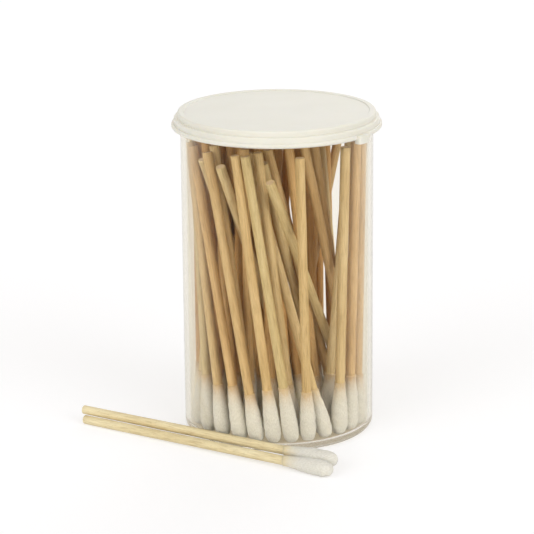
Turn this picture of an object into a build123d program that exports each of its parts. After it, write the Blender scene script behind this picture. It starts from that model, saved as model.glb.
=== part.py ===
from build123d import *
import os
from math import atan, cos, pi, radians, sin, sqrt

import numpy as np

# A clear plastic vial of wooden cotton swabs with a snap-on cap, and two loose swabs lying in front of it.
# Sizes are in millimetres and angles in degrees. Z is up, and the origin is the centre of the vial's underside.
# The front is towards -Y. A bearing is an angle round the vial from the front, positive towards +X.

# Swab
swab_length = 76.2
stick_diameter = 2.4
stick_edge_chamfer = 0.15
tip_diameter = 4.2
tip_length = 13.8
tip_length_spread = 1.2
tip_end_radius = 1.9
tip_belly_place = 4.4
tip_waist_share = 0.55
tip_neck_thickness = 0.14
tip_end_cover = 1.8
stick_fit = 0.03

# Vial
vial_outer_diameter = 49.2
vial_wall = 1.3
vial_floor = 1.6
head_room = 3.7
vial_edge_radius = 1.8
vial_corner_radius = 1.0
rim_bead = 0.35
rim_bead_height = 1.5

# Cap
skirt_clearance = 0.15
skirt_wall = 1.05
lip_wall = 1.7
cap_top_step = 0.1
cap_top_tier = 1.5
cap_middle_tier = 1.45
cap_lip_tier = 1.2
cap_seat_thickness = 2.2
cap_panel_thickness = 1.3
cap_edge_radius = 0.45
cap_recess_depth = 0.25
cap_recess_margin = 1.5
plug_clearance = 0.15
plug_length = 2.6
plug_wall = 1.0
plug_lead_in = 0.4

# Thumb tab on the cap's lip
tab_bearing = 52.0
tab_width = 4.4
tab_reach = 1.0
tab_drop = 0.9
tab_corner_radius = 0.6

# Gaps between the swabs, and under them
rest_gap = 0.03
swab_gap = 0.10
tip_row_gap = 0.6
tip_side_gap = 0.8

# Swabs set by hand. Each has its foot bearing, its foot's row counted in from the wall, its top bearing, its
# top's inset from the wall, and how much shorter than the full length it is. The first of them are saved one by
# one, and the rest as a group.
placed_swabs = [
    # round the wall, from the left to the right of the front
    (-88, 0, -128, 1.0, 0.0),
    (-72, 0, -118, 0.5, 0.3),
    (-56, 0, -104, 0.0, 0.0),
    (-40, 0, -84, 0.0, 0.2),
    (-26, 0, -71, 0.0, 0.0),
    (-14.5, 0, -51, 0.0, 0.6),
    (-3, 0, -27, 0.0, 0.8),
    (8.5, 0, -20.5, 0.0, 0.6),
    (20, 0, 14.5, 0.0, 1.6),
    (33, 0, -30, 5.7, 0.0),
    (45, 0, 49, 0.0, 0.6),
    (60, 0, 61, 0.0, 0.2),
    (77, 0, 71, 0.0, 0.0),
    # a second row close behind them
    (14.5, 0.9, -14, 6.4, 0.8),
    (-24, 0.9, -56, 2.4, 0.0),
    # leaning right across the vial, with their tops at the front and left
    (160, 3.4, -60, 0.0, 0.0),
    (105, 3.4, -43, 0.0, 0.0),
    (96, 0.4, -15, 0.0, 0.0),
    (87, 0.75, -14, 11.0, 0.0),
    (117, 1.4, -16, 8.0, 0.0),
    # at the right, with their feet at the wall
    (91, 0, 40, 9.4, 0.0),
    (104, 0, 68, 12.2, 0.0),
    (118, 0, 98, 10.8, 0.0),
    (170, 0, 122, 2.0, 0.0),
    (66, 1, 92, 1.0, 0.4),
    (52, 1, 72, 2.6, 0.0),
    # behind the right of the middle
    (88, 1.25, 84, 3.0, 0.3),
    (70, 1.9, 25, 12.0, 0.3),
]
placed_swab_yield = 0.3
single_swabs = 26

# Rows of swabs behind them, from the wall inwards: the first bearing, and the arc that the row covers
rear_rows = [
    (131, 130),
    (135, 190),
    (112, 228),
    (90, 250),
    (60, 240),
]
rear_lean = 6.5
rear_lean_spread = 1.8
rear_drift = -3.5
rear_shortening = 0.5
golden_angle = 137.5

# Loose swabs in front of the vial. The first lies on the floor: its tip's direction from +X, and how far its plain
# end lies before the place that is nearest to the vial. The second rests on it and leans on the vial: how steeply
# above the first it lies at the tips and at the plain ends, and how far it is slid back from it.
loose_gap = 0.1
loose_direction = -33.1
loose_before = 42.0
leaning_tip_lift = 13.0
leaning_end_lift = 57.5
leaning_slide = 1.2

# Small differences between swabs, as shares of a spread
variation = [-0.5, 0.2, 0.9, -0.1, 0.5, -0.8, 0.4, 1.0, -0.3]

# Sizes that follow from those above
stick_radius = stick_diameter / 2
hole_radius = stick_radius + stick_fit
neck_radius = hole_radius + tip_neck_thickness
tip_radius = tip_diameter / 2
waist_radius = neck_radius + tip_waist_share * (tip_radius - neck_radius)
vial_radius = vial_outer_diameter / 2
vial_inner_radius = vial_radius - vial_wall
vial_height = vial_floor + swab_length + head_room
foot_height = vial_floor + rest_gap + tip_end_radius
foot_ring = vial_inner_radius - tip_radius - swab_gap
top_ring = vial_inner_radius - stick_radius - swab_gap
row_depth = tip_diameter + tip_row_gap
belly_reach = swab_length - tip_belly_place
skirt_inner = vial_radius + rim_bead + skirt_clearance
cap_top_radius = skirt_inner + cap_top_step
cap_middle_radius = skirt_inner + skirt_wall
cap_lip_radius = skirt_inner + lip_wall
cap_top = vial_height + cap_seat_thickness
cap_bottom = cap_top - cap_top_tier - cap_middle_tier - cap_lip_tier


# The corner of the section being drawn that lies nearest to a radius and a height
def corner_near(radius, height):
    return vertices().sort_by_distance((radius, height, 0))[0]


# The vial: a revolved tub with a thick floor, a rounded bottom edge and a low bead round its rim
def make_vial():
    bead_radius = vial_radius + rim_bead
    bead_base = vial_height - rim_bead_height
    with BuildPart() as vial:
        with BuildSketch(Plane.XZ):
            with BuildLine():
                Polyline(
                    (0, vial_floor),
                    (0, 0),
                    (vial_radius, 0),
                    (vial_radius, bead_base - rim_bead),
                    (bead_radius, bead_base),
                    (bead_radius, vial_height),
                    (vial_inner_radius, vial_height),
                    (vial_inner_radius, vial_floor),
                    close=True,
                )
            make_face()
            fillet(corner_near(vial_radius, 0), vial_edge_radius)
            fillet(corner_near(vial_inner_radius, vial_floor), vial_corner_radius)
        revolve(axis=Axis.Z)
    return vial.part


# The cap: a stepped disc whose skirt goes over the rim and whose plug goes into the mouth
def make_cap():
    middle_top = cap_top - cap_top_tier
    lip_top = middle_top - cap_middle_tier
    plug_outer = vial_inner_radius - plug_clearance
    plug_inner = plug_outer - plug_wall
    plug_bottom = vial_height - plug_length
    panel_underside = cap_top - cap_panel_thickness
    recess_radius = cap_top_radius - cap_recess_margin
    with BuildPart() as cap:
        with BuildSketch(Plane.XZ):
            with BuildLine():
                Polyline(
                    (0, panel_underside),
                    (0, cap_top - cap_recess_depth),
                    (recess_radius - cap_recess_depth, cap_top - cap_recess_depth),
                    (recess_radius, cap_top),
                    (cap_top_radius, cap_top),
                    (cap_top_radius, middle_top),
                    (cap_middle_radius, middle_top),
                    (cap_middle_radius, lip_top),
                    (cap_lip_radius, lip_top),
                    (cap_lip_radius, cap_bottom),
                    (skirt_inner, cap_bottom),
                    (skirt_inner, vial_height),
                    (plug_outer, vial_height),
                    (plug_outer, plug_bottom + plug_lead_in),
                    (plug_outer - plug_lead_in, plug_bottom),
                    (plug_inner, plug_bottom),
                    (plug_inner, panel_underside),
                    close=True,
                )
            make_face()
            rounded = [
                (cap_top_radius, cap_top),
                (cap_middle_radius, middle_top),
                (cap_lip_radius, lip_top),
                (cap_lip_radius, cap_bottom),
            ]
            for radius, height in rounded:
                fillet(corner_near(radius, height), cap_edge_radius)
        revolve(axis=Axis.Z)
        x, y = on_bearing(tab_bearing, cap_lip_radius)
        with Locations(Location((x, y, cap_bottom), (0, 0, tab_bearing))):
            add(make_tab())
    return cap.part


# The thumb tab: a rounded block that stands out from the lip and hangs a little below it. It is drawn with the
# lip's outer face at y = 0 and the lip's lower edge at z = 0.
def make_tab():
    height = cap_lip_tier + tab_drop
    inward = lip_wall - skirt_wall
    with BuildPart() as tab:
        with Locations((0, (inward - tab_reach) / 2, cap_lip_tier - height / 2)):
            Box(tab_width, tab_reach + inward, height)
        fillet(tab.edges().filter_by(Axis.Z).sort_by(Axis.Y)[:2], tab_corner_radius)
    return tab.part


# A stick on the Z axis, from the bottom of the hole in its tip to its plain upper end
def make_stick(length):
    with BuildPart() as stick:
        with Locations((0, 0, tip_end_cover)):
            Cylinder(stick_radius, length - tip_end_cover, align=(Align.CENTER, Align.CENTER, Align.MIN))
        chamfer(stick.edges().sort_by(Axis.Z)[-1], stick_edge_chamfer)
    return stick.part


# A wound cotton tip on the Z axis, with its round end at z = 0 and a blind hole for the stick
def make_tip(length):
    dome_angle = pi / 3
    dome_end = (tip_end_radius * sin(dome_angle), tip_end_radius * (1 - cos(dome_angle)))
    dome_middle = (tip_end_radius * sin(dome_angle / 2), tip_end_radius * (1 - cos(dome_angle / 2)))
    waist_place = (tip_belly_place + length) / 2
    with BuildPart() as tip:
        with BuildSketch(Plane.XZ):
            with BuildLine():
                ThreePointArc((0, 0), dome_middle, dome_end)
                Spline(
                    dome_end,
                    (tip_radius, tip_belly_place),
                    (waist_radius, waist_place),
                    (neck_radius, length),
                    tangents=[(cos(dome_angle), sin(dome_angle)), (0, 1)],
                )
                Polyline(
                    (neck_radius, length),
                    (hole_radius, length),
                    (hole_radius, tip_end_cover),
                    (0, tip_end_cover),
                    (0, 0),
                )
            make_face()
        revolve(axis=Axis.Z)
    return tip.part


def tip_length_of(number):
    return tip_length + tip_length_spread * variation[number % len(variation)]


# A swab's radius at distances from its round end, as a straight-sided outline that holds the longest tip
def outline_radius(distance):
    longest = tip_length + tip_length_spread
    waist_place = (tip_belly_place + longest) / 2
    spare = 0.1
    places = [0, tip_end_radius, 2 * tip_belly_place - tip_end_radius, waist_place, longest]
    radii = [tip_end_radius, tip_radius, tip_radius, waist_radius + spare, neck_radius + spare]
    return np.where(distance > longest, stick_radius, np.interp(distance, places, radii))


def on_bearing(bearing, radius):
    turn = radians(bearing)
    return radius * sin(turn), -radius * cos(turn)


# The wanted foot and top of each swab that stands in the vial, and its length
def wanted_places():
    feet = []
    tops = []
    lengths = []
    for foot_bearing, foot_row, top_bearing, top_inset, short in placed_swabs:
        feet.append(on_bearing(foot_bearing, foot_ring - foot_row * row_depth))
        tops.append(on_bearing(top_bearing, top_ring - top_inset))
        lengths.append(swab_length - short)
    number = 0
    for row, (first, arc) in enumerate(rear_rows):
        ring = foot_ring - row * row_depth
        steps = max(1, int(radians(arc) * ring / (tip_diameter + tip_side_gap)))
        for k in range(steps + 1):
            differs = variation[number % len(variation)]
            foot_x, foot_y = on_bearing(first + k * arc / steps, ring)
            lean_x, lean_y = on_bearing(number * golden_angle, rear_lean + rear_lean_spread * differs)
            feet.append((foot_x, foot_y))
            tops.append((foot_x + lean_x + rear_drift, foot_y + lean_y))
            lengths.append(swab_length + rear_shortening * (differs - 1))
            number += 1
    return np.array(feet), np.array(tops), np.array(lengths)


# Points pulled back to a ring round the axis where they lie outside it
def inside_ring(points, ring):
    reach = np.linalg.norm(points, axis=1)
    return points * np.minimum(1, ring / np.maximum(reach, swab_gap))[:, None]


# Moves feet and tops apart until no two swabs meet, and none leaves the vial. Each swab is a straight line from
# foot to top, and each pair is compared on level slices. Swabs set by hand give way less than the others.
def settle(feet, tops, lengths):
    most_rounds = 3000
    step_share = 0.45
    give = np.ones(len(feet))
    give[: len(placed_swabs)] = placed_swab_yield
    level_step = stick_radius
    levels = np.arange(vial_floor + level_step, vial_height, level_step)
    first, second = np.triu_indices(len(feet), 1)
    pairs = np.arange(len(first))
    for _ in range(most_rounds):
        feet = inside_ring(feet, foot_ring)
        tops = inside_ring(tops, top_ring)
        run = tops - feet
        reach = lengths - tip_end_radius
        rise = np.sqrt(reach**2 - (run**2).sum(axis=1))
        share = (levels[:, None] - foot_height) / rise
        along = share * reach + tip_end_radius
        radius = outline_radius(along) * reach / rise
        radius[along > lengths + level_step] = -vial_radius
        centres = feet + share[:, :, None] * run
        apart = centres[:, first] - centres[:, second]
        distance = np.linalg.norm(apart, axis=2)
        overlap = radius[:, first] + radius[:, second] + swab_gap - distance
        worst = overlap.argmax(axis=0)
        depth = np.maximum(overlap[worst, pairs], 0)
        if depth.max() < swab_gap / 4:
            break
        way = apart[worst, pairs] / np.maximum(distance[worst, pairs], swab_gap)[:, None]
        foot_moves = np.zeros_like(feet)
        top_moves = np.zeros_like(tops)
        for these, others, sign in ((first, second, 1), (second, first, -1)):
            part = give[these] / (give[these] + give[others])
            move = sign * step_share * (depth * part)[:, None] * way
            level = np.clip(share[worst, these], 0, 1)
            size = level**2 + (1 - level) ** 2
            np.add.at(foot_moves, these, move * ((1 - level) / size)[:, None])
            np.add.at(top_moves, these, move * (level / size)[:, None])
        feet = feet + foot_moves
        tops = tops + top_moves
    return feet, tops


# The place of a swab that stands in the vial: its round end is on the floor at its foot, and it points at its top
def standing_location(foot, top, length):
    run_x, run_y = top[0] - foot[0], top[1] - foot[1]
    rise = sqrt((length - tip_end_radius) ** 2 - run_x**2 - run_y**2)
    way = Vector(run_x, run_y, rise).normalized()
    centre = Vector(foot[0], foot[1], foot_height)
    return Plane(origin=centre - way * tip_end_radius, z_dir=way).location


# How the second loose swab's middle line lies beside and above the first's, at the plain ends and at the bellies
def leaning_offsets():
    end_apart = stick_diameter + loose_gap
    tip_apart = tip_diameter + loose_gap
    end_lift = radians(leaning_end_lift)
    tip_lift = radians(leaning_tip_lift)
    at_end = (end_apart * cos(end_lift), end_apart * sin(end_lift))
    at_tip = (tip_apart * cos(tip_lift), tip_apart * sin(tip_lift))
    return at_end, at_tip


# The first loose swab, as the middle of its plain end and its direction. Its belly and the lower edge of its plain
# end both touch the floor, and it leaves the second one's stick its room beside the vial.
def lying_line():
    at_end, at_tip = leaning_offsets()
    share = loose_before / belly_reach
    beside = (1 - share) * at_end[0] + share * at_tip[0]
    tilt = atan((tip_radius - stick_radius) / belly_reach)
    turn = radians(loose_direction)
    reach = vial_radius + loose_gap + stick_radius + beside
    end_x = reach * sin(turn) - loose_before * cos(turn)
    end_y = -reach * cos(turn) - loose_before * sin(turn)
    end = Vector(end_x, end_y, stick_radius * cos(tilt))
    way = Vector(cos(turn) * cos(tilt), sin(turn) * cos(tilt), sin(tilt))
    return end, way


# The second loose swab, which rests on the first one's plain end and belly
def leaning_line():
    at_end, at_tip = leaning_offsets()
    end, way = lying_line()
    level = Vector(-way.Y, way.X, 0).normalized()
    upward = way.cross(level)
    over_end = end + level * at_end[0] + upward * at_end[1]
    over_belly = end + way * belly_reach + level * at_tip[0] + upward * at_tip[1]
    leaning_way = (over_belly - over_end).normalized()
    return over_end - leaning_way * leaning_slide, leaning_way


# The place of a swab whose plain end and direction are known
def line_location(end, way):
    return Plane(origin=end + way * swab_length, z_dir=-way).location


def save(shape, node):
    shape.label = node
    export_step(shape, f"parts/{node}.step")


os.makedirs("parts", exist_ok=True)
save(make_vial(), "vial")
save(make_cap(), "cap")

feet, tops, lengths = wanted_places()
feet, tops = settle(feet, tops, lengths)
rear_sticks = []
rear_tips = []
for index in range(len(feet)):
    place = standing_location(feet[index], tops[index], lengths[index])
    stick = make_stick(lengths[index]).moved(place)
    tip = make_tip(tip_length_of(index)).moved(place)
    if index < single_swabs:
        save(stick, f"swab_{index + 1:02d}_stick")
        save(tip, f"swab_{index + 1:02d}_tip")
    else:
        rear_sticks.append(stick)
        rear_tips.append(tip)
save(Compound(rear_sticks), "rear_sticks")
save(Compound(rear_tips), "rear_tips")

for number, (end, way) in enumerate((lying_line(), leaning_line()), start=1):
    place = line_location(end, way)
    save(make_stick(swab_length).moved(place), f"loose_swab_{number}_stick")
    save(make_tip(tip_length_of(number)).moved(place), f"loose_swab_{number}_tip")
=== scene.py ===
import math

import bmesh
import bpy
import numpy as np
from mathutils import Matrix, Vector


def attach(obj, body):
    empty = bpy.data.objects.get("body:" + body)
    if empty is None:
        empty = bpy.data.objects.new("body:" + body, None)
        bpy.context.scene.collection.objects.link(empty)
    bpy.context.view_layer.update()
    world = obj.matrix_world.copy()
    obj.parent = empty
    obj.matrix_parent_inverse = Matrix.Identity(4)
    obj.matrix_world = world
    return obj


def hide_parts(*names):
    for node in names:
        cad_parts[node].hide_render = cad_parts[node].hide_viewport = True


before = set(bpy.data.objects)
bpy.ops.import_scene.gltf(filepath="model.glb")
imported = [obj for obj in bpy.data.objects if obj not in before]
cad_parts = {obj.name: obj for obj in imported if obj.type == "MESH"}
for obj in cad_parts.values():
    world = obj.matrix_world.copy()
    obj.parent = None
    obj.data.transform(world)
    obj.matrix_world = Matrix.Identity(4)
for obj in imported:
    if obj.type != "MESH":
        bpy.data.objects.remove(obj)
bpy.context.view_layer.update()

MM = 0.001

# Camera
CAMERA_TARGET = Vector((-2.791, 0.0, 42.020)) * MM
CAMERA_DISTANCE = 620.0 * MM
CAMERA_PITCH = math.radians(16.150)
CAMERA_ROLL = math.radians(0.522)
CAMERA_LENS = 161.64
CAMERA_NEAREST = 0.01
CAMERA_FURTHEST = 20

# Light, where each sun has the place that it shines from and its strength
SUNS = {
    "key_left": ((-0.75, -0.72, 0.50), 0.97),
    "key_right": ((0.75, -0.72, 0.50), 1.10),
    "back": ((0.25, 0.90, 0.60), 0.65),
}
SUN_AIM = (0, 0, 0.04)
SUN_SPREAD = math.radians(40)
SUN_COLOUR = (1.0, 0.985, 0.955)
WORLD_LIGHT = 1.15

# Floor, whose glow holds painted shade, dim and warm, close round the vial's foot
FLOOR_REACH = 6.0
FLOOR_GLOW = 0.62
FLOOR_SEEN = (0.46, 0.485, 0.55)
FLOOR_UNSEEN = (0.86, 0.85, 0.83)
PAINTED_SHADE_SCALE = 60 * MM

# Share of the lamps' light that passes through each wall
VIAL_LETS_THROUGH = 1.0
CAP_LETS_THROUGH = 0.6

# Sides and rings of each mesh, for the swabs made one by one and for the many behind them
STICK_MESH = (20, 46)
TIP_MESH = (36, 44)
REAR_STICK_MESH = (16, 24)
REAR_TIP_MESH = (24, 28)

# Tones of the wood, from 0, dark and warm, to 1, pale; within each group they are random, and the lower
# ranges of the sticks in the vial, lowest at the rear, are painted shade
LOOSE_TONES = (1.0, 1.0)
FRONT_TONES = (0.3, 0.8)
REAR_TONES = (0.0, 0.35)

# Sticks, where the cut end dips by a depth in mm at each share of the radius
STICK_WAVE = 0.035 * MM
STICK_WAVES = 4
STICK_LOBES = 3
GRAIN_OFFSET = 100
STICK_EDGE = 0.12 * MM
STICK_EDGE_STEP = 0.35
STICK_FULL_SHARE = 0.9
CUT_END_DIP = ((0.0, 0.72), (0.03, 0.35), (0.05, 0.02))

# Tips, where the fluff is a sum of spiral waves, each with its count round the tip and its weight
TIP_FLUFF = 0.075 * MM
TIP_FLUFF_WAVES = ((2, 0.5), (3, 0.35), (5, 0.3), (8, 0.2), (13, 0.15))
TIP_FLUFF_LEVEL = 0.5
TIP_TWIST = 2.2
TIP_TWIST_RANGE = (0.6, 1.4)
TIP_RING_SPREAD = 0.9
TIP_DOME_RADIUS = 1.9 * MM
TIP_DOME_HEIGHT = 0.9 * MM
TIP_FULL_RADIUS = 2.1 * MM
TIP_END_RADIUS = 0.02 * MM
TIP_LEAST_RADIUS = 0.015 * MM
NECK_TAPER = 6.5 * MM
FIBRE_TURNS = 2.0
FIBRE_OFFSET = 10

# Reading the swabs from the frame
SAME_PLACE_DIGITS = 7
END_SLICE = 1.5 * MM
STANDING_RISE = 0.3
PAIR_REACH = 20 * MM
OUTLINE_PLACES = 40
BODY_SHARE = 0.6
LEAST_OUTLINE = 0.2 * MM
WELD_DISTANCE = 1e-7
UPRIGHT = 0.9

SEED = 7

rng = np.random.default_rng(SEED)


# Places the camera where the photograph was taken from
def add_camera():
    forward = Vector((0, math.cos(CAMERA_PITCH), -math.sin(CAMERA_PITCH)))
    level_up = Vector((0, math.sin(CAMERA_PITCH), math.cos(CAMERA_PITCH)))
    level_right = Vector((1, 0, 0))
    right = math.cos(CAMERA_ROLL) * level_right - math.sin(CAMERA_ROLL) * level_up
    up = math.sin(CAMERA_ROLL) * level_right + math.cos(CAMERA_ROLL) * level_up
    data = bpy.data.cameras.new("camera")
    data.lens = CAMERA_LENS
    data.clip_start = CAMERA_NEAREST
    data.clip_end = CAMERA_FURTHEST
    camera = bpy.data.objects.new("camera", data)
    turn = Matrix((right, up, -forward)).transposed().to_4x4()
    camera.matrix_world = Matrix.Translation(CAMERA_TARGET - CAMERA_DISTANCE * forward) @ turn
    bpy.context.scene.collection.objects.link(camera)
    bpy.context.scene.camera = camera


class Nodes:
    """A short way to build the nodes and links of a material or a world."""

    # Where a colour mix has its factor, its two colours and its result among its sockets
    MIX_INPUTS = (0, 6, 7)
    MIX_OUTPUT = 2

    def __init__(self, owner, output="OutputMaterial"):
        owner.use_nodes = True
        self.tree = owner.node_tree
        self.tree.nodes.clear()
        self.output = self.tree.nodes.new("ShaderNode" + output)

    # Links a socket to a node's input, or gives the input a value
    def feed(self, node, key, value):
        if isinstance(value, bpy.types.NodeSocket):
            self.tree.links.new(value, node.inputs[key])
        else:
            node.inputs[key].default_value = value

    def add(self, kind, inputs=None, **settings):
        node = self.tree.nodes.new("ShaderNode" + kind)
        for name, value in settings.items():
            setattr(node, name, value)
        for key, value in (inputs or {}).items():
            self.feed(node, key, value)
        return node

    def ramp(self, factor, stops):
        node = self.add("ValToRGB", {"Fac": factor})
        elements = node.color_ramp.elements
        while len(elements) < len(stops):
            elements.new(0.5)
        for element, (place, colour) in zip(elements, stops):
            element.position = place
            element.color = (*colour, 1)
        return node.outputs["Color"]

    def grey_ramp(self, factor, stops):
        return self.ramp(factor, [(place, (grey, grey, grey)) for place, grey in stops])

    def mix(self, factor, first, second, blend="MIX"):
        node = self.add("Mix", data_type="RGBA", blend_type=blend)
        for key, value in zip(self.MIX_INPUTS, (factor, first, second)):
            self.feed(node, key, (*value, 1) if isinstance(value, tuple) else value)
        return node.outputs[self.MIX_OUTPUT]

    def math(self, operation, first, second):
        return self.add("Math", {0: first, 1: second}, operation=operation).outputs["Value"]

    def noise(self, place, scale, detail):
        return self.add("TexNoise", {"Vector": place, "Scale": scale, "Detail": detail}).outputs["Fac"]

    # Noise with a scale of its own along each axis
    def stretched_noise(self, place, scale, detail, turn=0.0):
        mapping = self.add("Mapping", {"Vector": place, "Scale": scale, "Rotation": (0, 0, turn)})
        return self.noise(mapping.outputs["Vector"], 1.0, detail)

    def bump(self, height, strength, distance):
        inputs = {"Strength": strength, "Distance": distance, "Height": height}
        return self.add("Bump", inputs).outputs["Normal"]

    def join(self, kind, first, second, inputs=None):
        node = self.add(kind, inputs)
        sockets = [socket for socket in node.inputs if socket.type == "SHADER"]
        self.tree.links.new(first.outputs[0], sockets[0])
        self.tree.links.new(second.outputs[0], sockets[1])
        return node

    # A shader through which a share of the lamps' light passes at each surface
    def let_lamps_through(self, shader, colour, share):
        shadow = self.add("LightPath").outputs["Is Shadow Ray"]
        passing = self.add("BsdfTransparent", {"Color": (*colour, 1)})
        return self.join("MixShader", shader, passing, {"Fac": self.math("MULTIPLY", shadow, share)})

    # One for a ray from the camera, mirrored or through the vial too, and nought for light thrown by surfaces
    def seen_share(self):
        path = self.add("LightPath").outputs
        seen = self.math("MAXIMUM", path["Is Camera Ray"], path["Is Transmission Ray"])
        seen = self.math("MAXIMUM", seen, path["Is Glossy Ray"])
        return self.math("MULTIPLY", seen, self.math("LESS_THAN", path["Diffuse Depth"], 0.5))

    def finish(self, shader):
        self.tree.links.new(shader.outputs[0], self.output.inputs["Surface"])


# Bare birch: fine long streaks, a few pores, darker bands, pale cut ends, and a tone for each stick, with
# darker tones as painted shade for the sticks in the vial, darkest at the rear
def make_wood():
    material = bpy.data.materials.new("stick_wood")
    nodes = Nodes(material)
    place = nodes.add("UVMap", uv_map="along").outputs["UV"]
    tone = nodes.add("Attribute", attribute_name="tone").outputs["Fac"]
    cut = nodes.add("Attribute", attribute_name="cut").outputs["Fac"]
    bands = nodes.stretched_noise(place, (3.0, 0.05, 1.0), detail=3.0)
    streaks = nodes.stretched_noise(place, (26.0, 0.22, 1.0), detail=6.0)
    pores = nodes.stretched_noise(place, (40.0, 0.9, 1.0), detail=2.0)
    base = nodes.ramp(
        bands,
        [(0.34, (0.60, 0.44, 0.215)), (0.52, (0.665, 0.505, 0.265)), (0.70, (0.72, 0.565, 0.32))],
    )
    streak_tones = nodes.ramp(
        streaks,
        [(0.34, (0.80, 0.76, 0.70)), (0.50, (1.0, 1.0, 1.0)), (0.68, (1.07, 1.08, 1.10))],
    )
    base = nodes.mix(0.9, base, streak_tones, "MULTIPLY")
    pore_tones = nodes.ramp(pores, [(0.30, (0.60, 0.49, 0.36)), (0.37, (1.0, 1.0, 1.0))])
    base = nodes.mix(0.55, base, pore_tones, "MULTIPLY")
    # Painted shade: low tones, given to the sticks in the vial and most to those at the rear, darken and warm
    # the wood
    tones_and_painted_shade = nodes.ramp(
        tone,
        [
            (0.0, (0.88, 0.65, 0.41)),
            (0.25, (0.98, 0.79, 0.58)),
            (0.35, (1.05, 0.95, 0.85)),
            (0.50, (0.97, 1.01, 0.97)),
            (0.65, (1.12, 1.08, 1.04)),
            (0.80, (1.11, 1.19, 1.25)),
            (1.0, (1.16, 1.30, 1.50)),
        ],
    )
    base = nodes.mix(1.0, base, tones_and_painted_shade, "MULTIPLY")
    base = nodes.mix(nodes.math("MULTIPLY", cut, 0.6), base, (0.74, 0.54, 0.38))
    rough = nodes.math("ADD", nodes.math("MULTIPLY", streaks, 0.2), 0.5)
    height = nodes.math("ADD", streaks, nodes.math("MULTIPLY", pores, 0.5))
    bump = nodes.bump(height, 0.5, 0.05 * MM)
    nodes.finish(nodes.add("BsdfPrincipled", {"Base Color": base, "Roughness": rough, "Normal": bump}))
    return material


# Wound cotton: soft white fibre with spiral streaks, wisps of wood where the winding ends, and painted light
# that makes the rear tips paler and warmer
def make_cotton():
    material = bpy.data.materials.new("tip_cotton")
    nodes = Nodes(material)
    place = nodes.add("UVMap", uv_map="along").outputs["UV"]
    tone = nodes.add("Attribute", attribute_name="tone").outputs["Fac"]
    thin = nodes.add("Attribute", attribute_name="cut").outputs["Fac"]
    fibre = nodes.stretched_noise(place, (5.0, 1.6, 1.0), detail=8.0, turn=0.5)
    wisps = nodes.stretched_noise(place, (9.0, 0.55, 1.0), detail=5.0)
    lumps = nodes.stretched_noise(place, (1.2, 0.5, 1.0), detail=3.0)
    base = nodes.ramp(
        fibre,
        [(0.32, (0.62, 0.60, 0.53)), (0.55, (0.73, 0.71, 0.645)), (0.75, (0.79, 0.78, 0.72))],
    )
    # Painted light: the rear tips, with the lowest tones, are made paler and warmer, standing in for light
    # scattered among the packed tips
    rear_painted_light = nodes.ramp(tone, [(0.25, (1.18, 1.12, 0.98)), (0.32, (1.0, 1.0, 1.0))])
    base = nodes.mix(1.0, base, rear_painted_light, "MULTIPLY")
    uneven = nodes.math("MULTIPLY", nodes.math("SUBTRACT", wisps, 0.5), 0.9)
    shown = nodes.grey_ramp(nodes.math("ADD", thin, uneven), [(0.20, 0.0), (0.62, 0.30), (0.95, 0.95)])
    # The wood under the thin cotton follows the stick's tone, painted shade of the sticks in the vial and at
    # the rear included
    wood = nodes.ramp(
        tone,
        [
            (0.0, (0.47, 0.28, 0.12)),
            (0.35, (0.60, 0.41, 0.21)),
            (0.80, (0.63, 0.48, 0.27)),
            (1.0, (0.72, 0.60, 0.36)),
        ],
    )
    base = nodes.mix(shown, base, wood)
    height = nodes.math("ADD", nodes.math("MULTIPLY", fibre, 0.6), nodes.math("MULTIPLY", lumps, 0.6))
    cotton = nodes.add(
        "BsdfPrincipled",
        {
            "Base Color": base,
            "Roughness": 0.95,
            "Normal": nodes.bump(height, 0.45, 0.14 * MM),
            "Sheen Weight": 0.25,
            "Sheen Roughness": 0.6,
            "Subsurface Weight": 0.6,
            "Subsurface Radius": (1.0, 0.95, 0.85),
            "Subsurface Scale": 1.8 * MM,
        },
    )
    nodes.finish(cotton)
    return material


# Clear moulded styrene, warmer where it is seen at a slant, which lets the lamps through to the swabs
def make_clear():
    material = bpy.data.materials.new("vial_clear")
    nodes = Nodes(material)
    place = nodes.add("TexCoord").outputs["Object"]
    smears = nodes.noise(place, 90.0, 4.0)
    ripple = nodes.noise(place, 25.0, 1.0)
    slant = nodes.add("LayerWeight", {"Blend": 0.5}).outputs["Facing"]
    tint = nodes.ramp(
        slant,
        [
            (0.0, (0.965, 0.95, 0.91)),
            (0.44, (0.95, 0.925, 0.865)),
            (0.62, (0.82, 0.77, 0.64)),
            (0.92, (0.70, 0.63, 0.45)),
        ],
    )
    clear = nodes.add(
        "BsdfPrincipled",
        {
            "Base Color": tint,
            "Roughness": nodes.math("MULTIPLY", smears, 0.004),
            "IOR": 1.49,
            "Specular Tint": (0.12, 0.12, 0.12, 1),
            "Transmission Weight": 1.0,
            "Normal": nodes.bump(ripple, 0.05, 0.1 * MM),
        },
    )
    nodes.finish(nodes.let_lamps_through(clear, (0.985, 0.98, 0.97), VIAL_LETS_THROUGH))
    return material


# Cream-white moulded polyethylene, waxy with a fine grain, through which some of the lamps' light shines
def make_cap_plastic():
    material = bpy.data.materials.new("cap_white")
    nodes = Nodes(material)
    place = nodes.add("TexCoord").outputs["Object"]
    flow = nodes.noise(place, 70.0, 3.0)
    grain = nodes.noise(place, 2600.0, 2.0)
    plastic = nodes.add(
        "BsdfPrincipled",
        {
            "Base Color": nodes.ramp(flow, [(0.35, (0.745, 0.73, 0.655)), (0.65, (0.775, 0.76, 0.69))]),
            "Roughness": nodes.math("ADD", nodes.math("MULTIPLY", flow, 0.12), 0.36),
            "Specular IOR Level": 0.3,
            "Normal": nodes.bump(grain, 0.12, 0.04 * MM),
            "Subsurface Weight": 0.35,
            "Subsurface Radius": (1.0, 0.85, 0.6),
            "Subsurface Scale": 1.2 * MM,
        },
    )
    nodes.finish(nodes.let_lamps_through(plastic, (1.0, 0.95, 0.85), CAP_LETS_THROUGH))
    return material


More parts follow.
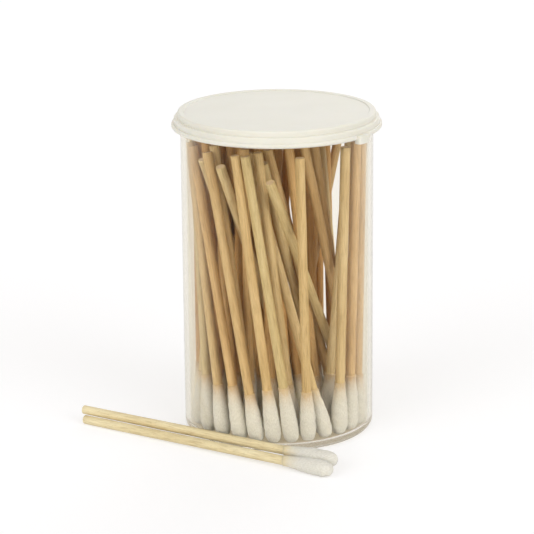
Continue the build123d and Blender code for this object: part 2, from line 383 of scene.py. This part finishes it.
# The separate solids of a node's mesh, as arrays of points in metres
def solids_of(node):
    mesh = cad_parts[node].data
    points = np.zeros(len(mesh.vertices) * 3)
    mesh.vertices.foreach_get("co", points)
    points = points.reshape(-1, 3)
    edges = np.zeros(len(mesh.edges) * 2, int)
    mesh.edges.foreach_get("vertices", edges)
    edges = edges.reshape(-1, 2)
    _, same_place = np.unique(points.round(SAME_PLACE_DIGITS), axis=0, return_inverse=True)
    same_place = same_place.reshape(-1)
    group = np.arange(same_place.max() + 1)
    ends = same_place[edges]
    while True:
        low = np.minimum(group[ends[:, 0]], group[ends[:, 1]])
        merged = group.copy()
        np.minimum.at(merged, ends[:, 0], low)
        np.minimum.at(merged, ends[:, 1], low)
        merged = merged[merged]
        if (merged == group).all():
            break
        group = merged
    labels = group[same_place]
    return [points[labels == label] for label in np.unique(labels)]


# A stick's start, which is its lower end where it stands, and its direction, length and radius
def stick_line(points):
    centre = points.mean(axis=0)
    way = np.linalg.svd(points - centre, full_matrices=False)[2][0]
    centre, way = refine_axis(points, way)
    along = (points - centre) @ way
    if abs(way[2]) > STANDING_RISE and way[2] < 0:
        way, along = -way, -along
    start = centre + along.min() * way
    radial = np.linalg.norm(points - centre - np.outer(along, way), axis=1)
    return start, way, along.max() - along.min(), radial.max()


# Fits the axis through the middles of a stick's two end rings
def refine_axis(points, way):
    along = points @ way
    low = points[along < along.min() + END_SLICE]
    high = points[along > along.max() - END_SLICE]
    low_middle = (low.min(axis=0) + low.max(axis=0)) / 2
    high_middle = (high.min(axis=0) + high.max(axis=0)) / 2
    way = high_middle - low_middle
    return (low_middle + high_middle) / 2, way / np.linalg.norm(way)


class Swab:
    """One swab: a line from its round end to its plain end, and its tip's outline, read from the frame."""

    def __init__(self, stick_points, tip_points):
        start, way, self.stick_length, self.radius = stick_line(stick_points)
        tip_middle = tip_points.mean(axis=0)
        if np.linalg.norm(tip_middle - start) > self.stick_length / 2:
            start, way = start + way * self.stick_length, -way
        self.way = way
        along = (tip_points - start) @ way
        self.end = start + along.min() * way
        self.stick_start = -along.min()
        along = along - along.min()
        self.tip_length = along.max()
        reach = np.linalg.norm(tip_points - self.end - np.outer(along, way), axis=1)
        self.outline = outer_outline(along, reach)
        side = np.cross(way, (0.0, 0.0, 1.0) if abs(way[2]) < UPRIGHT else (0.0, 1.0, 0.0))
        self.side = side / np.linalg.norm(side)
        self.other = np.cross(way, self.side)
        self.tone = rng.uniform(0.0, 1.0)
        self.turn = rng.uniform(0, 2 * math.pi)

    # Points on rings round the swab, at distances from its round end
    def rings(self, along, radii, angle):
        spots = self.end + along[:, None] * self.way
        out = np.cos(angle)[None, :, None] * self.side + np.sin(angle)[None, :, None] * self.other
        return spots[:, None, :] + radii[:, :, None] * out


# The largest radius at each distance along a tip, without places that hold no points of its outside
def outer_outline(along, reach):
    places = np.linspace(0, along.max(), OUTLINE_PLACES)
    bins = np.clip(np.searchsorted(places, along), 0, len(places) - 1)
    radii = np.zeros(len(places))
    np.maximum.at(radii, bins, reach)
    round_half = places < 0.5 * along.max()
    known = radii > BODY_SHARE * radii.max() * round_half + LEAST_OUTLINE
    known[0] = False
    return places[known], radii[known]


# Makes a swab of each stick and the tip that lies nearest to its line
def pair_up(sticks, tips):
    swabs = []
    middles = np.array([tip.mean(axis=0) for tip in tips])
    for stick in sticks:
        start, way, length, _ = stick_line(stick)
        nearest = np.clip((middles - start) @ way, -PAIR_REACH, length + PAIR_REACH)
        away = np.linalg.norm(start + nearest[:, None] * way - middles, axis=1)
        swabs.append(Swab(stick, tips[int(away.argmin())]))
    return swabs


# Joins rings of points into one mesh, closed at both ends
def mesh_of_rings(name, parts, material):
    vertices, faces, places, tones_and_painted_shade, cuts = [], [], [], [], []
    for rings, uv_rings, tone, cut in parts:
        first = len(vertices)
        count, sides = rings.shape[0], rings.shape[1]
        vertices.extend(rings.reshape(-1, 3))
        places.extend(uv_rings.reshape(-1, 2))
        tones_and_painted_shade.extend([tone] * (count * sides))
        cuts.extend(np.repeat(cut, sides))
        for i in range(count - 1):
            for j in range(sides - 1):
                a = first + i * sides + j
                faces.append((a, a + 1, a + sides + 1, a + sides))
        for i, low in ((0, True), (count - 1, False)):
            ring = [first + i * sides + j for j in range(sides - 1)]
            faces.append(ring[::-1] if low else ring)
    mesh = bpy.data.meshes.new(name)
    mesh.from_pydata([tuple(v) for v in vertices], [], faces)
    uv = mesh.uv_layers.new(name="along")
    loops = np.zeros(len(mesh.loops), int)
    mesh.loops.foreach_get("vertex_index", loops)
    uv.data.foreach_set("uv", np.array(places, np.float32)[loops].ravel())
    for kind, values in (("tone", tones_and_painted_shade), ("cut", cuts)):
        layer = mesh.attributes.new(kind, "FLOAT", "POINT")
        layer.data.foreach_set("value", np.array(values, np.float32))
    mesh.shade_smooth()
    welded = bmesh.new()
    welded.from_mesh(mesh)
    bmesh.ops.remove_doubles(welded, verts=welded.verts, dist=WELD_DISTANCE)
    bmesh.ops.recalc_face_normals(welded, faces=welded.faces)
    welded.to_mesh(mesh)
    welded.free()
    mesh.materials.append(material)
    piece = bpy.data.objects.new(name, mesh)
    bpy.context.scene.collection.objects.link(piece)
    return piece


# Texture places on rings: turns round the swab, and millimetres along it
def texture_places(turns, along, shape):
    return np.stack([np.broadcast_to(turns[None, :], shape), np.broadcast_to(along[:, None], shape)], axis=-1)


# A stick's rings: a slightly wavy turned rod with worn edges and a cut end that dips a little
def stick_rings(swab, sides, rings):
    length = swab.stick_length
    worn = STICK_EDGE_STEP * STICK_EDGE
    inner = np.linspace(STICK_EDGE, length - STICK_EDGE, rings)
    along = np.concatenate([[0, worn], inner, [length - worn, length]])
    radius = np.full(len(along), swab.radius)
    radius[0] = radius[-1] = swab.radius - STICK_EDGE
    radius[1] = radius[-2] = swab.radius - worn
    along = np.concatenate([along, [length - depth * MM for depth, _ in CUT_END_DIP]])
    radius = np.concatenate([radius, [share * swab.radius for _, share in CUT_END_DIP]])
    angle = np.linspace(0, 2 * math.pi, sides + 1)
    waves = rng.normal(0, 1, STICK_WAVES)
    wave = sum(w * np.sin((k + 1) * math.pi * along / length + 2 * w) for k, w in enumerate(waves))
    full = radius[:, None] > STICK_FULL_SHARE * swab.radius
    radii = radius[:, None] - STICK_WAVE * 0.5 * (1 + np.sin(STICK_LOBES * angle + swab.turn)) * full
    radii = radii - STICK_WAVE * np.clip(wave, 0, 1)[:, None] * full
    points = swab.rings(swab.stick_start + along, radii, angle)
    uv = texture_places(angle / (2 * math.pi) + swab.turn, along / MM + GRAIN_OFFSET * swab.turn, radii.shape)
    cut = (radius < STICK_FULL_SHARE * swab.radius).astype(float)
    return points, uv, swab.tone, cut


# A tip's rings: the frame's outline with a round end, a spiral of wound fibre and a neck that thins out
def tip_rings(swab, sides, rings):
    share = np.linspace(0, 1, rings)
    along = swab.tip_length * (1 - np.cos(share * math.pi / 2)) ** TIP_RING_SPREAD
    along = np.clip(along, 0, swab.tip_length)
    radius = np.interp(along, *swab.outline)
    in_dome = along < TIP_DOME_HEIGHT
    dome_level = TIP_DOME_RADIUS - along[in_dome]
    radius[in_dome] = np.sqrt(np.clip(TIP_DOME_RADIUS**2 - dome_level**2, 0, None))
    radius[0] = TIP_END_RADIUS
    angle = np.linspace(0, 2 * math.pi, sides + 1)
    fluff = np.zeros((rings, sides + 1))
    for wave_count, weight in TIP_FLUFF_WAVES:
        phase = rng.uniform(0, 2 * math.pi)
        twist = TIP_TWIST * rng.uniform(*TIP_TWIST_RANGE)
        fluff += weight * np.sin(wave_count * angle[None, :] + twist * along[:, None] / MM + phase)
    room = np.clip(radius / TIP_FULL_RADIUS, 0, 1)
    radii = radius[:, None] - TIP_FLUFF * room[:, None] * (TIP_FLUFF_LEVEL + fluff)
    radii = np.maximum(radii, TIP_LEAST_RADIUS)
    points = swab.rings(along, radii, angle)
    uv = texture_places(angle * FIBRE_TURNS + FIBRE_OFFSET * swab.turn, along / MM, radii.shape)
    thin = np.clip(1 - (swab.tip_length - along) / NECK_TAPER, 0, 1)
    return points, uv, swab.tone, thin


# Puts detailed sticks and tips in the place of a pair of nodes
def dress_swabs(stick_node, tip_node, wood, cotton, tones_and_painted_shade, stick_mesh, tip_mesh):
    swabs = pair_up(solids_of(stick_node), solids_of(tip_node))
    for swab in swabs:
        swab.tone = tones_and_painted_shade[0] + swab.tone * (tones_and_painted_shade[1] - tones_and_painted_shade[0])
    sticks = mesh_of_rings(stick_node + "_grain", [stick_rings(swab, *stick_mesh) for swab in swabs], wood)
    tips = mesh_of_rings(tip_node + "_wound", [tip_rings(swab, *tip_mesh) for swab in swabs], cotton)
    for piece, node, slot in ((sticks, stick_node, "stick_wood"), (tips, tip_node, "tip_cotton")):
        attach(piece, "vial")
        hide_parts(node)


def dress_all_swabs(wood, cotton):
    for stick_node in sorted(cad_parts):
        if stick_node.endswith("_stick"):
            tip_node = stick_node.removesuffix("_stick") + "_tip"
            # The sticks in the vial, and most of all the rear ones, get darker tones than the loose ones as
            # painted shade
            tones_and_painted_shade = LOOSE_TONES if stick_node.startswith("loose") else FRONT_TONES
            dress_swabs(stick_node, tip_node, wood, cotton, tones_and_painted_shade, STICK_MESH, TIP_MESH)
    dress_swabs("rear_sticks", "rear_tips", wood, cotton, REAR_TONES, REAR_STICK_MESH, REAR_TIP_MESH)


def paint(node, material):
    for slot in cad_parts[node].material_slots:
        slot.material = material


# A white floor, which also glows a little to the camera, so that it is white where no shadow falls, with
# painted shade in the glow round the vial's foot
def add_floor():
    material = bpy.data.materials.new("floor_white")
    nodes = Nodes(material)
    seen = nodes.seen_share()
    position = nodes.add("NewGeometry").outputs["Position"]
    distance = nodes.add("VectorMath", {0: position}, operation="LENGTH").outputs["Value"]
    # Painted shade: the glow is dim and warm within about 21 to 25 mm of the middle, under and round the
    # vial's foot
    foot_shade_painted = nodes.ramp(
        nodes.math("DIVIDE", distance, PAINTED_SHADE_SCALE),
        [(0.35, (0.53, 0.43, 0.27)), (0.41, (1.0, 0.96, 0.89))],
    )
    matt = nodes.add("BsdfDiffuse", {"Color": nodes.mix(seen, FLOOR_UNSEEN, FLOOR_SEEN)})
    glow = nodes.add("Emission", {"Color": foot_shade_painted, "Strength": nodes.math("MULTIPLY", seen, FLOOR_GLOW)})
    nodes.finish(nodes.join("AddShader", matt, glow))
    mesh = bpy.data.meshes.new("floor")
    corners = [(FLOOR_REACH * x, FLOOR_REACH * y, 0) for x, y in ((-1, -1), (1, -1), (1, 1), (-1, 1))]
    mesh.from_pydata(corners, [], [(0, 1, 2, 3)])
    mesh.materials.append(material)
    floor = bpy.data.objects.new("floor", mesh)
    bpy.context.scene.collection.objects.link(floor)


# White to the camera and through the vial, dim at the front for reflections, and otherwise a soft light
def add_world():
    world = bpy.data.worlds.new("studio")
    bpy.context.scene.world = world
    nodes = Nodes(world, "OutputWorld")
    way = nodes.add("SeparateXYZ", {"Vector": nodes.add("TexCoord").outputs["Generated"]})
    front = nodes.math("MULTIPLY", way.outputs["Y"], -1.0)
    low = nodes.math("SUBTRACT", 1.0, nodes.math("MAXIMUM", way.outputs["Z"], 0.0))
    lit = nodes.math("ADD", nodes.math("MULTIPLY", front, 0.4), nodes.math("MULTIPLY", low, 0.6))
    strength = nodes.grey_ramp(lit, [(0.0, 0.32), (0.5, 0.60), (1.0, 0.90)])
    strength = nodes.math("MULTIPLY", strength, WORLD_LIGHT)
    soft = nodes.add("Background", {"Color": (1.0, 0.99, 0.97, 1), "Strength": strength})
    mirrored = nodes.grey_ramp(front, [(0.0, 1.0), (0.4, 0.15)])
    path = nodes.add("LightPath").outputs
    direct = nodes.math("MAXIMUM", path["Is Camera Ray"], path["Is Transmission Ray"])
    brightness = nodes.math("MAXIMUM", mirrored, direct)
    white = nodes.add("Background", {"Color": (1, 1, 1, 1), "Strength": brightness})
    nodes.finish(nodes.join("MixShader", soft, white, {"Fac": nodes.seen_share()}))


# Two suns at the front and a weaker one behind, all wide, so that shadows are soft
def add_suns():
    for name, (place, strength) in SUNS.items():
        data = bpy.data.lights.new(name, "SUN")
        data.angle = SUN_SPREAD
        data.energy = strength
        data.color = SUN_COLOUR
        sun = bpy.data.objects.new(name, data)
        sun.location = place
        sun.rotation_euler = (Vector(SUN_AIM) - Vector(place)).to_track_quat("-Z", "Y").to_euler()
        bpy.context.scene.collection.objects.link(sun)


bpy.context.scene.view_settings.view_transform = "Standard"
add_camera()
add_world()
add_suns()
add_floor()
dress_all_swabs(make_wood(), make_cotton())
paint("vial", make_clear())
paint("cap", make_cap_plastic())

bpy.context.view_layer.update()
